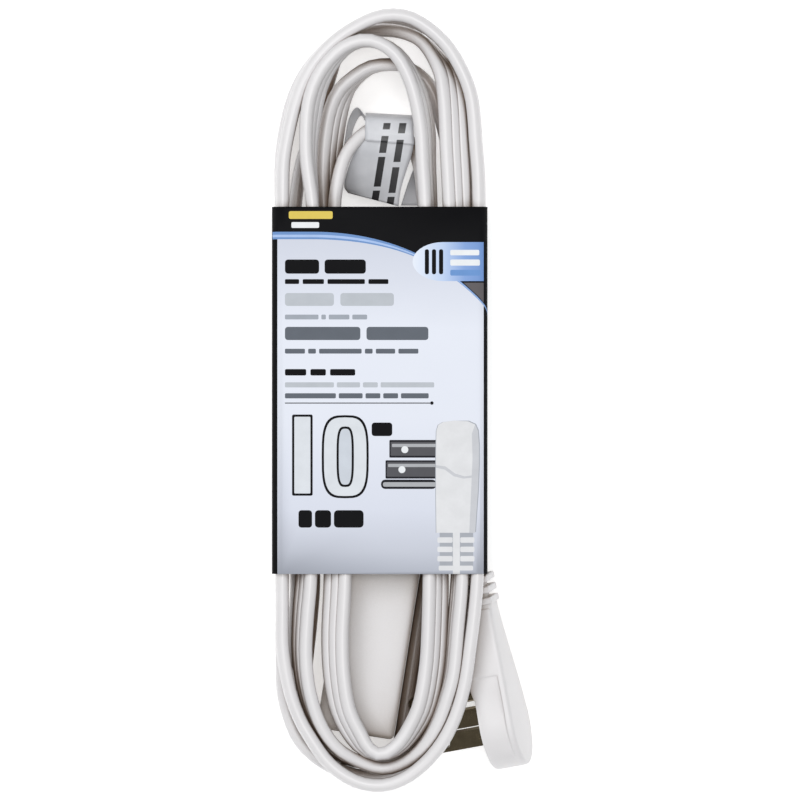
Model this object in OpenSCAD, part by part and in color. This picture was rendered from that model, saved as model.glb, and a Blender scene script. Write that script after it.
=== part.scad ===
// Flat-plug extension cord, folded into a hank and held by a printed card sleeve.
// The hank lies on its back: +Y is towards its plain looped end, +Z is the printed face of the card.
// The origin is under the middle of the whole part, on the surface it lies on. Millimetres.

/* [Card sleeve] */
// Outside width of the sleeve
sleeve_w = 67; // [66:0.5:68]
// Length of the sleeve along the hank
sleeve_l = 114; // [100:1:120]
// Outside depth of the sleeve
sleeve_d = 34; // [34:0.5:38]
// Thickness of the card
card_t = 0.5; // [0.4:0.1:0.6]
// Outside radius of the folded corners
card_r = 3; // [2:0.5:4]

/* [Cord] */
// Width of the flat three-core cord
cord_w = 9.6; // [9:0.1:10]
// Thickness of the flat cord
cord_t = 4.1; // [3.8:0.1:4.3]
// Length of the folded hank
hank_l = 244; // [240:1:250]
// Width of the open middle of the hank
gap_w = 28; // [27:0.5:29]

/* [Plug] */
// Thickness of the flat plug, from its face to its back
plug_t = 12.7; // [12:0.1:13]
// Radius of the round head
head_r = 13.5; // [13:0.1:14]
// Distance from the centre of the head to the cord end of the body
body_reach = 36.5; // [35:0.5:37]
// Half width of the body at its cord end
neck_half = 5.8; // [5.6:0.1:6.4]
// Length of the ribbed strain relief
relief_l = 10; // [9.4:0.2:10]

/* [Blades] */
// Distance between the two flat blades
blade_gap = 12.7; // [12.6:0.1:12.8]
// Width of a flat blade
blade_w = 6.35; // [6.2:0.05:6.5]
// Thickness of a flat blade
blade_t = 1.5; // [1.4:0.1:1.6]
// How far a flat blade stands out of the plug
blade_l = 17.5; // [16:0.5:18]
// Diameter of the round ground pin
pin_d = 4.75; // [4.7:0.05:4.85]
// How far the ground pin stands out of the plug
pin_l = 20.5; // [19:0.5:21]
// Distance from the line of the blades to the ground pin
pin_offset = 11.9; // [11.8:0.1:12]
// Turn of the blade pattern from the run of the cord, in degrees
pattern_turn = 24; // [22:1:26]

/* [Outlet block] */
// Width of the block
block_w = 24.4; // [24:0.2:25]
// Length of the block without its strain relief
block_l = 84; // [84:0.5:86]
// Depth of the block
block_d = 20; // [19.6:0.2:20]
// Number of outlets in the row
outlets = 3; // [2:1:3]
// Distance from one outlet to the next
outlet_pitch = 24; // [23.5:0.5:24]
// Diameter of the ground hole
ground_hole_d = 5.2; // [5:0.1:5.4]

/* [Hidden] */
$fn = 64;
eps = 0.01;

// Sleeve: middle of its width, and its two ends along Y
sleeve_x = -7.4;
sleeve_y0 = -54;
sleeve_y1 = sleeve_y0 + sleeve_l;
clear = 0.4;

// Hank: it fills the sleeve but for a small clearance, and is open along its middle
hank_w = sleeve_w - 2 * (card_t + clear);
hank_z0 = card_t + clear;
hank_z1 = sleeve_d - card_t - clear;
gap_x = -6;
gap_y0 = -106;
gap_y1 = 86;

// Plug: centre of the head and how the plug lies
plug_pos = [30.9, -101.8, 15];
plug_lean = 12;
plug_pitch = 3.5;
plug_yaw = 13;
face_x = -plug_t / 2;
neck_t = 11.2;
blade_y = 1.3;
ground_y = blade_y + pin_offset;
bridge_x0 = -5;
bridge_x1 = -2;
arm_x1 = 1.5;
line_arm_z = [8, 9.2];
neutral_arm_z = [5.4, 7.4];
crimp_y0 = 14.9;
crimp_y1 = 17;
crimp_s0 = 1.9;
arm_half = 1.2;
ground_crimp_y1 = 19.5;
blade_hole_d = 4;
blade_hole_at = 11.7;
core_d = 2.5;
core_gap = 3.2;
relief_end = body_reach + relief_l;
rib_n = 3;
rib_t = 2.2;
// The cord's own axis at the plug, and the way its wide side faces there
plug_axis = [-sin(plug_lean) * cos(plug_pitch), cos(plug_lean) * cos(plug_pitch), sin(plug_pitch)];
plug_side = [-sin(plug_yaw) * cos(plug_lean) + cos(plug_yaw) * sin(plug_pitch) * sin(plug_lean),
    -sin(plug_yaw) * sin(plug_lean) - cos(plug_yaw) * sin(plug_pitch) * cos(plug_lean),
    cos(plug_yaw) * cos(plug_pitch)];

// Outlet block: middle of its free end, and the turn that brings its cord end to the right
block_pos = [-15.2, -104.4, 0.8];
block_turn = -9;
wall = 2;
back_t = 2.2;
face_t = 4;
carrier_z1 = block_d - back_t;
contact_z0 = 5.2;
contact_z1 = 13.8;
strip_t = 0.8;
first_blade_y = 20;
channel_y0 = 4.6;
channel_y1 = 71.8;
terminal_y1 = 77.2;
tab_y0 = 72.5;
tab_y1 = 76.5;
tab_z0 = 8.4;
wire_z = 10;
block_relief_l = 22;
block_relief_end = block_l + block_relief_l;
block_rib_n = 5;
jaw_t = 0.6;
jaw_gap = 1.3;
jaw_l = 6.6;

// Route of the cord from the outlet block into the hank, and from the plug into the hank
outlet_route = [[1.4, 0.3, 10.8], [2.2, 6, 10.8], [2.4, 12, 11], [1.8, 18, 12], [0, 24, 13], [-3, 30, 15],
    [-7, 35, 17], [-12, 39, 19], [-16, 40, 20], [-20, 40, 20]];
plug_route_l = 9;
plug_exit = plug_pos + relief_end * plug_axis;
plug_route_end = [plug_exit[0] - 1.2, plug_exit[1] + plug_route_l, plug_exit[2]];
// Underside of the front layer of cord, over the plug's strain relief
front_z0 = 24.3;

// ---- helpers -------------------------------------------------------------------------------

function unit(v) = v / norm(v);
function clamp_index(i, n) = min(max(i, 0), n - 1);
function tangent(path, i) = unit(path[clamp_index(i + 1, len(path))] - path[clamp_index(i - 1, len(path))]);
function square_to(v, t) = unit(v - (v * t) * t);

// One ring of the flat cord: eight corners round a point, with the wide side along "wide"
function cord_ring(at, t, wide) =
    let (a = square_to(wide, t), b = cross(t, a), w = cord_w / 2, h = cord_t / 2, c = 0.45 * h, e = w - 0.55 * h)
    [for (q = [[w, c], [e, h], [-e, h], [-w, c], [-w, -c], [-e, -h], [e, -h], [w, -c]]) at + q[0] * a + q[1] * b];

// A closed tube through rings of eight corners
module ring_tube(rings) {
    n = len(rings);
    points = [for (r = rings) for (p = r) p];
    sides = [for (i = [0:n - 2]) for (j = [0:7]) for (half = [0, 1])
        half == 0
            ? [8 * i + j, 8 * i + 8 + j, 8 * i + 8 + (j + 1) % 8]
            : [8 * i + j, 8 * i + 8 + (j + 1) % 8, 8 * i + (j + 1) % 8]];
    polyhedron(points = points, convexity = 6,
        faces = concat([[for (j = [0:7]) j]], sides, [[for (j = [7:-1:0]) 8 * (n - 1) + j]]));
}

// Rectangle with round corners, centred
module round_rect(w, l, r) {
    square([w - 2 * r, l], center = true);
    square([w, l - 2 * r], center = true);
    for (x = [-1, 1], y = [-1, 1])
        translate([x * (w / 2 - r), y * (l / 2 - r)])
            circle(r = r);
}

// Slot with round ends between two Y positions, centred on X
module long_slot(w, y0, y1) {
    translate([-w / 2, y0 + w / 2])
        square([w, y1 - y0 - w]);
    for (y = [y0 + w / 2, y1 - w / 2])
        translate([0, y])
            circle(d = w, $fn = 128);
}

// A box given by its two corners
module box(low, high) {
    translate(low)
        cube(high - low);
}

// ---- plug ----------------------------------------------------------------------------------
// In the plug's own axes the blades point to -X, the cord leaves to +Y and the width lies along Z.

module place_plug() {
    translate(plug_pos)
        rotate([0, 0, plug_lean])
            rotate([plug_pitch, 0, 0])
                rotate([0, -plug_yaw, 0])
                    children();
}

module plug_plan() {
    reach = norm([body_reach, neck_half]);
    touch = atan2(neck_half, body_reach) + acos(head_r / reach);
    circle(r = head_r, $fn = 128);
    polygon([[head_r * cos(touch), head_r * sin(touch)], [body_reach, neck_half],
        [body_reach, -neck_half], [head_r * cos(touch), -head_r * sin(touch)]]);
}

// Outer form of the moulding: the plan seen from the blades, cut to the tapering thickness
module plug_form() {
    intersection() {
        translate([-plug_t / 2, 0, 0])
            rotate([90, 0, 90])
                linear_extrude(height = plug_t)
                    plug_plan();
        translate([0, 0, -head_r - 1])
            linear_extrude(height = 2 * head_r + 2)
                polygon([[-plug_t / 2, -head_r - 1], [plug_t / 2, -head_r - 1], [plug_t / 2, head_r],
                    [neck_t / 2, body_reach + 1], [-neck_t / 2, body_reach + 1], [-plug_t / 2, head_r]]);
    }
}

module plug_relief() {
    pitch = relief_l / rib_n;
    box([-3.4, body_reach - 1, -4.9], [3.4, relief_end, 4.9]);
    for (i = [0:rib_n - 1])
        box([-4.7, body_reach + (i + 1) * pitch - rib_t, -5.2], [4.7, body_reach + (i + 1) * pitch, 5.2]);
}

// The part of a blade, on the side "s", that follows the turned pattern
module blade_plate(s) {
    rotate([pattern_turn, 0, 0])
        difference() {
            box([face_x - blade_l, blade_y - blade_w / 2, s * blade_gap / 2 - blade_t / 2],
                [arm_x1, blade_y + blade_w / 2, s * blade_gap / 2 + blade_t / 2]);
            translate([face_x - blade_hole_at, blade_y, s * blade_gap / 2 - blade_t])
                cylinder(h = 2 * blade_t, d = blade_hole_d);
        }
}

// The near blade's arm goes round the ground pin to its crimp
module line_contact() {
    blade_plate(1);
    box([bridge_x1, -3, 6], [arm_x1, 0, line_arm_z[1]]);
    box([bridge_x1, -3, line_arm_z[0]], [arm_x1, crimp_y1, line_arm_z[1]]);
    box([bridge_x1, crimp_y0, crimp_s0], [arm_x1, crimp_y1, line_arm_z[1]]);
}

module neutral_contact() {
    blade_plate(-1);
    box([bridge_x1, 3, -neutral_arm_z[1]], [arm_x1, crimp_y1, -neutral_arm_z[0]]);
    box([bridge_x1, crimp_y0, -neutral_arm_z[1]], [arm_x1, crimp_y1, -crimp_s0]);
}

module ground_contact() {
    post_x = face_x - pin_l + pin_d / 2;
    post_y = ground_y * cos(pattern_turn);
    post_z = ground_y * sin(pattern_turn);
    translate([post_x, post_y, post_z]) {
        sphere(d = pin_d);
        rotate([0, 90, 0])
            cylinder(h = bridge_x1 - post_x, d = pin_d);
    }
    box([bridge_x1, post_y - 2, -arm_half], [arm_x1, post_y + 2, post_z + 1]);
    box([bridge_x1, post_y - 2, -arm_half], [arm_x1, ground_crimp_y1, arm_half]);
}

module plug_core(s, y0) {
    translate([0, y0, s * core_gap])
        rotate([-90, 0, 0])
            cylinder(h = relief_end - y0, d = core_d);
}

module bridge_block() {
    box([bridge_x0, -5, -9], [bridge_x1, 16.4, 9.2]);
}

module plug_body() {
    color("whitesmoke")
        place_plug()
            difference() {
                union() {
                    plug_form();
                    plug_relief();
                }
                bridge_block();
                line_contact();
                neutral_contact();
                ground_contact();
                plug_core(1, crimp_y1);
                plug_core(-1, crimp_y1);
                plug_core(0, ground_crimp_y1);
            }
}

module plug_bridge() {
    color("gainsboro")
        place_plug()
            difference() {
                bridge_block();
                line_contact();
                neutral_contact();
                ground_contact();
            }
}

module line_blade() {
    color("goldenrod")
        place_plug()
            line_contact();
}

module neutral_blade() {
    color("goldenrod")
        place_plug()
            neutral_contact();
}

module ground_pin() {
    color("goldenrod")
        place_plug()
            ground_contact();
}

module plug_line_wire() {
    color("black")
        place_plug()
            plug_core(1, crimp_y1);
}

module plug_neutral_wire() {
    color("white")
        place_plug()
            plug_core(-1, crimp_y1);
}

module plug_ground_wire() {
    color("green")
        place_plug()
            plug_core(0, ground_crimp_y1);
}

// ---- outlet block --------------------------------------------------------------------------
// In the block's own axes the cord leaves to +Y and the outlets open to -Z.

module place_block() {
    translate(block_pos)
        rotate([0, 0, block_turn])
            children();
}

function blade_line(i) = first_blade_y + i * outlet_pitch;
function ground_at(i) = blade_line(i) - pin_offset;

module block_core(s) {
    translate([s * core_gap, tab_y1, wire_z])
        rotate([-90, 0, 0])
            cylinder(h = block_relief_end - tab_y1, d = core_d);
}

module inner_box(z0, z1) {
    translate([0, block_l / 2, z0])
        linear_extrude(height = z1 - z0)
            round_rect(block_w - 2 * wall, block_l - 2 * wall, 2);
}

// Hollow moulding with its ribbed strain relief and a bore for each core
module outlet_body() {
    pitch = block_relief_l / block_rib_n;
    color("whitesmoke")
        place_block()
            difference() {
                union() {
                    translate([0, block_l / 2, 0])
                        linear_extrude(height = block_d)
                            round_rect(block_w, block_l, 4);
                    box([-5.2, block_l - 1, wire_z - 3], [5.2, block_relief_end, wire_z + 3]);
                    for (i = [0:block_rib_n - 1])
                        box([-6, block_l + (i + 1) * pitch - rib_t, wire_z - 4],
                            [6, block_l + (i + 1) * pitch, wire_z + 4]);
                }
                inner_box(-1, carrier_z1);
                for (s = [-1:1])
                    block_core(s);
            }
}

module slot(x, y, w, l) {
    box([x - w / 2, y - l / 2, -1], [x + w / 2, y + l / 2, face_t + 1]);
}

// The line slots are the short ones
module outlet_face() {
    color("gainsboro")
        place_block()
            difference() {
                inner_box(0, face_t);
                for (i = [0:outlets - 1]) {
                    translate([0, ground_at(i), -1])
                        cylinder(h = face_t + 2, d = ground_hole_d);
                    slot(-blade_gap / 2, blade_line(i), 2, 7.2);
                    slot(blade_gap / 2, blade_line(i), 2.2, 8.6);
                }
            }
}

module contact_carrier() {
    strip_z1 = contact_z1 + strip_t;
    color("gainsboro")
        place_block()
            difference() {
                inner_box(face_t, carrier_z1);
                for (x = [-blade_gap / 2, blade_gap / 2])
                    box([x - 2.3, channel_y0, face_t - 1], [x + 2.3, channel_y1 + 1, strip_z1]);
                box([-3.3, channel_y0, face_t - 1], [3.3, channel_y1 + 1, strip_z1]);
                box([-8.7, channel_y1, face_t - 1], [8.7, terminal_y1, strip_z1]);
                for (s = [-1:1])
                    block_core(s);
            }
}

// A brass strip with a pair of spring jaws behind each blade slot, on the side "s" of the block
module jaw_bus(s) {
    x = s * blade_gap / 2;
    box([x - 2, channel_y0 + 2, contact_z1], [x + 2, tab_y1, contact_z1 + strip_t]);
    box([min(s * crimp_s0, x + s * 2), tab_y0, tab_z0], [max(s * crimp_s0, x + s * 2), tab_y1, contact_z1 + eps]);
    for (i = [0:outlets - 1], side = [-1, 1])
        translate([x + side * (jaw_gap + jaw_t) / 2, blade_line(i), (contact_z0 + contact_z1) / 2])
            cube([jaw_t, jaw_l, contact_z1 - contact_z0 + 2 * eps], center = true);
}

module line_bus() {
    color("gold")
        place_block()
            jaw_bus(-1);
}

module neutral_bus() {
    color("gold")
        place_block()
            jaw_bus(1);
}

// A brass strip with a split tube behind each ground hole
module ground_bus() {
    color("gold")
        place_block() {
            box([-2.8, channel_y0 + 1, contact_z1], [2.8, tab_y1, contact_z1 + strip_t]);
            box([-arm_half, tab_y0, tab_z0], [arm_half, tab_y1, contact_z1 + eps]);
            for (i = [0:outlets - 1])
                translate([0, ground_at(i), contact_z0])
                    difference() {
                        cylinder(h = contact_z1 - contact_z0 + eps, d = 6);
                        translate([0, 0, -1])
                            cylinder(h = contact_z1 - contact_z0 + 1, d = 4.7);
                        box([-0.4, 0, -1], [0.4, 4, contact_z1 - contact_z0 - 0.5]);
                    }
        }
}

module outlet_line_wire() {
    color("black")
        place_block()
            block_core(-1);
}

module outlet_neutral_wire() {
    color("white")
        place_block()
            block_core(1);
}

module outlet_ground_wire() {
    color("green")
        place_block()
            block_core(0);
}

// ---- cord, tag and sleeve ------------------------------------------------------------------

// The hank as one solid of its outer shape, open in the middle, with room for the block and plug
module cord_hank() {
    color("white")
        difference() {
            intersection() {
                translate([0, 0, hank_z0])
                    linear_extrude(height = hank_z1 - hank_z0)
                        difference() {
                            translate([sleeve_x, 0])
                                long_slot(hank_w, -hank_l / 2, hank_l / 2);
                            translate([gap_x, 0])
                                long_slot(gap_w, gap_y0, gap_y1);
                        }
                // Rounded along its long edges, clear of the folded card
                translate([sleeve_x, hank_l / 2 + 1, (hank_z0 + hank_z1) / 2])
                    rotate([90, 0, 0])
                        linear_extrude(height = hank_l + 2)
                            round_rect(hank_w, hank_z1 - hank_z0, card_r);
            }
            place_block()
                box([-block_w / 2 - 0.4, -0.4, -2], [block_w / 2 + 0.4, block_relief_end, block_d + 0.4]);
            // Beside the plug only the front layer of cord passes
            box([12.5, -118, -1], [40, sleeve_y0 - 0.4, front_z0]);
            box([6, -118, -1], [40, -84, front_z0]);
            box([14, sleeve_y0 - 1, -1], [40, plug_route_end[1], front_z0]);
            place_plug()
                box([face_x - 0.4, -20, -head_r - 10], [30, 30, head_r + 30]);
        }
}

module plug_lead() {
    path = [for (u = [0:0.25:1]) plug_exit * (1 - u) + plug_route_end * u];
    n = len(path);
    color("white")
        ring_tube([for (i = [0:n - 1])
            cord_ring(path[i], i == 0 ? plug_axis : i == n - 1 ? [0, 1, 0] : tangent(path, i), plug_side)]);
}

module outlet_lead() {
    n = len(outlet_route);
    start = [-sin(block_turn), cos(block_turn), 0];
    color("white")
        ring_tube([for (i = [0:n - 1])
            let (t = i == 0 ? start : i == n - 1 ? [-1, 0, 0] : tangent(outlet_route, i))
            cord_ring(outlet_route[i], t, cross([0, 0, 1], t))]);
}

// The safety tag hangs in the open middle of the hank, against its left run
module cord_tag() {
    color("silver")
        translate([gap_x - gap_w / 2, 63, 24])
            cube([24, 12, 1.2]);
}

module card_sleeve() {
    color("lightsteelblue")
        translate([sleeve_x, sleeve_y1, sleeve_d / 2])
            rotate([90, 0, 0])
                linear_extrude(height = sleeve_l)
                    difference() {
                        round_rect(sleeve_w, sleeve_d, card_r);
                        round_rect(sleeve_w - 2 * card_t, sleeve_d - 2 * card_t, card_r - card_t);
                    }
}

plug_body();
plug_bridge();
line_blade();
neutral_blade();
ground_pin();
plug_line_wire();
plug_neutral_wire();
plug_ground_wire();
outlet_body();
outlet_face();
contact_carrier();
line_bus();
neutral_bus();
ground_bus();
outlet_line_wire();
outlet_neutral_wire();
outlet_ground_wire();
cord_hank();
plug_lead();
outlet_lead();
cord_tag();
card_sleeve();
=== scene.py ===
"""Looks of the packaged flat-plug extension cord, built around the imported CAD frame. Blender works in
metres. The tables below are in millimetres, in the same frame, and go through mm()."""

import math

import bmesh
import bpy
from mathutils import Matrix, Vector, geometry


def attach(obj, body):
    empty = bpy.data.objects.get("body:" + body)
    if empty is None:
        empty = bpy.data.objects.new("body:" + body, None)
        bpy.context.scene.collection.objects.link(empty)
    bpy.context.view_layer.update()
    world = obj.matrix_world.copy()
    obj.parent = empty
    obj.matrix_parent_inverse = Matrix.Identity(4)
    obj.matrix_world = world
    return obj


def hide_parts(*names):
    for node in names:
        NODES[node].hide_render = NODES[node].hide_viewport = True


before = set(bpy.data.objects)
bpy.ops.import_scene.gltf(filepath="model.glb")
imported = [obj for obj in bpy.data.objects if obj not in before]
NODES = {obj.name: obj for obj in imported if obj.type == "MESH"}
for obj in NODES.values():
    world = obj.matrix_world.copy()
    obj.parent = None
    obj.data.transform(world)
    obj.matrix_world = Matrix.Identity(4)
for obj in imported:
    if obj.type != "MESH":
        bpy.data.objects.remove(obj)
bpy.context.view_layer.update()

SCENE = bpy.context.scene
SCENE.view_settings.view_transform = "Standard"
MM = 0.001


def mm(*p):
    return Vector(p) * MM


def new_object(name, mesh):
    obj = bpy.data.objects.new(name, mesh)
    SCENE.collection.objects.link(obj)
    return obj


def smooth(mesh, angle=None):
    for poly in mesh.polygons:
        poly.use_smooth = True
    if angle is not None:
        mesh.set_sharp_from_angle(angle=math.radians(angle))


def ease(a, b, t):
    t = min(max((t - a) / (b - a), 0), 1)
    return t * t * (3 - 2 * t)


# ---------------------------------------------------------------- camera

# Straight above the card. FRAME_W is what the picture takes in at the height FOCUS_Z.
FRAME_W = 0.25
FOCUS_Z = 0.02
CAMERA_X = -0.0011
CAMERA_UP = 2.0
SENSOR_W = 36
camera_data = bpy.data.cameras.new("camera")
camera_data.sensor_width = SENSOR_W
camera_data.lens = SENSOR_W * CAMERA_UP / FRAME_W
camera = new_object("camera", camera_data)
camera.location = (CAMERA_X, 0, FOCUS_Z + CAMERA_UP)
SCENE.camera = camera


# ---------------------------------------------------------------- materials

def shader(name):
    mat = bpy.data.materials.new(name)
    mat.use_nodes = True
    tree = mat.node_tree
    return mat, tree, tree.nodes["Principled BSDF"]


def node(tree, kind, **values):
    """A new node, with values for its sockets or its settings."""
    made = tree.nodes.new(kind)
    for key, value in values.items():
        if key in made.inputs:
            made.inputs[key].default_value = value
        else:
            setattr(made, key, value)
    return made


def ramp(tree, source, stops):
    """The colour that a value gives on a ramp of (place, colour) stops."""
    made = tree.nodes.new("ShaderNodeValToRGB")
    tree.links.new(source, made.inputs["Fac"])
    while len(made.color_ramp.elements) < len(stops):
        made.color_ramp.elements.new(0.5)
    for element, (at, colour) in zip(made.color_ramp.elements, stops):
        element.position = at
        element.color = (*colour, 1)
    return made.outputs["Color"]


# The colour sockets of a Mix node
MIX_A, MIX_B, MIX_RESULT = 6, 7, 2


def laid_over(tree, factor, under, colour):
    """A fixed colour laid over another as far as factor says."""
    made = node(tree, "ShaderNodeMix", data_type="RGBA")
    tree.links.new(factor, made.inputs["Factor"])
    tree.links.new(under, made.inputs[MIX_A])
    made.inputs[MIX_B].default_value = (*colour, 1)
    return made.outputs[MIX_RESULT]


def map_range(tree, source, low, high, to_low=0.0, to_high=1.0):
    made = node(tree, "ShaderNodeMapRange")
    tree.links.new(source, made.inputs["Value"])
    for socket, value in (("From Min", low), ("From Max", high), ("To Min", to_low), ("To Max", to_high)):
        made.inputs[socket].default_value = value
    return made.outputs["Result"]


GRAIN_DEPTH = 0.03


def add_bump(tree, bsdf, height, strength):
    relief = node(tree, "ShaderNodeBump", Strength=strength, Distance=GRAIN_DEPTH * MM)
    tree.links.new(height, relief.inputs["Height"])
    tree.links.new(relief.outputs["Normal"], bsdf.inputs["Normal"])


def shade(colour, k):
    return tuple(min(c * k, 1) for c in colour)


# The part of a noise's range that holds nearly all of its values
NOISE_LOW, NOISE_HIGH = 0.3, 0.7
ROUGH_SPREAD = 0.06
# How far the painted crevice shade reaches in metres, and the openness at which it is full and gone
CREVICE_REACH = 0.03
CREVICE_FULL, CREVICE_GONE = 0.12, 0.6
CREVICE_SAMPLES = 8


def surface(name, colour, rough, scale=90, vary=0.03, bump=0.12, bump_scale=900, crevice_shade=None, **fixed):
    """A moulded, printed or metal finish: cloudy colour, fine grain, and roughness that wanders. The
    crevice shade colour is painted shade, laid over the colour where ambient occlusion finds the surface
    hemmed in."""
    mat, tree, bsdf = shader(name)
    link = tree.links.new
    where = node(tree, "ShaderNodeTexCoord").outputs["Object"]
    cloud = node(tree, "ShaderNodeTexNoise", Scale=scale, Detail=4, Roughness=0.6)
    link(where, cloud.inputs["Vector"])
    tint = ramp(tree, cloud.outputs["Fac"],
                [(NOISE_LOW, shade(colour, 1 - vary)), (NOISE_HIGH, shade(colour, 1 + vary))])
    # painted shade: the crevice colour darkens the surface where little open space surrounds it
    if crevice_shade:
        open_to = node(tree, "ShaderNodeAmbientOcclusion", samples=CREVICE_SAMPLES, Distance=CREVICE_REACH)
        depth = map_range(tree, open_to.outputs["AO"], CREVICE_FULL, CREVICE_GONE, 1.0, 0.0)
        tint = laid_over(tree, depth, tint, crevice_shade)
    link(tint, bsdf.inputs["Base Color"])
    spread = map_range(tree, cloud.outputs["Fac"], NOISE_LOW, NOISE_HIGH,
                       max(rough - ROUGH_SPREAD, 0.02), min(rough + ROUGH_SPREAD, 1))
    link(spread, bsdf.inputs["Roughness"])
    grain = node(tree, "ShaderNodeTexNoise", Scale=bump_scale, Detail=3, Roughness=0.55)
    link(where, grain.inputs["Vector"])
    add_bump(tree, bsdf, grain.outputs["Fac"], bump)
    for socket, value in fixed.items():
        bsdf.inputs[socket.replace("_", " ")].default_value = value
    return mat


# Painted shade: a brown laid into the crevices of the cord and the outlet face, and a paler one for the
# mouldings
CREVICE_SHADE_TAN = (0.21, 0.15, 0.11)
PALE_CREVICE_SHADE_TAN = (0.44, 0.38, 0.33)
CORD_PVC = surface("cord_pvc", (0.735, 0.72, 0.725), 0.36, scale=55, vary=0.02,
                   bump=0.15, bump_scale=1400, crevice_shade=CREVICE_SHADE_TAN, Coat_Weight=0.12, Coat_Roughness=0.25)
RIGID_PVC = surface("moulded_pvc", (0.725, 0.71, 0.715), 0.42, scale=70, vary=0.02,
                    bump=0.22, bump_scale=2200, crevice_shade=PALE_CREVICE_SHADE_TAN, Coat_Weight=0.08, Coat_Roughness=0.3)
FACE_PLASTIC = surface("face_plastic", (0.74, 0.73, 0.71), 0.38, bump=0.2, bump_scale=2500, crevice_shade=CREVICE_SHADE_TAN)
CARRIER_PLASTIC = surface("carrier_plastic", (0.60, 0.59, 0.55), 0.5, bump=0.3, bump_scale=1800)
PLATED = surface("plated_blade", (0.15, 0.12, 0.075), 0.24, scale=260, vary=0.12,
                 bump=0.25, bump_scale=2600, Metallic=1.0)
BRASS = surface("brass_strip", (0.72, 0.52, 0.26), 0.3, scale=240, vary=0.1,
                bump=0.25, bump_scale=2400, Metallic=1.0)
CORES = {
    "line": surface("core_black", (0.03, 0.03, 0.032), 0.45, bump=0.2, bump_scale=1500),
    "neutral": surface("core_white", (0.78, 0.78, 0.76), 0.45, bump=0.2, bump_scale=1500),
    "ground": surface("core_green", (0.05, 0.28, 0.10), 0.45, bump=0.2, bump_scale=1500),
}

CAD_LOOKS = {
    "line_blade": PLATED, "neutral_blade": PLATED, "ground_pin": PLATED,
    "line_bus": BRASS, "neutral_bus": BRASS, "ground_bus": BRASS,
    "outlet_face": FACE_PLASTIC, "plug_bridge": CARRIER_PLASTIC, "contact_carrier": CARRIER_PLASTIC,
    "plug_line_wire": CORES["line"], "outlet_line_wire": CORES["line"],
    "plug_neutral_wire": CORES["neutral"], "outlet_neutral_wire": CORES["neutral"],
    "plug_ground_wire": CORES["ground"], "outlet_ground_wire": CORES["ground"],
}
for name, look in CAD_LOOKS.items():
    kept = NODES[name]
    if not kept.material_slots:
        kept.data.materials.append(None)
    for spot in kept.material_slots:
        spot.link = "OBJECT"
        spot.material = look


# ---------------------------------------------------------------- the cord

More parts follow.
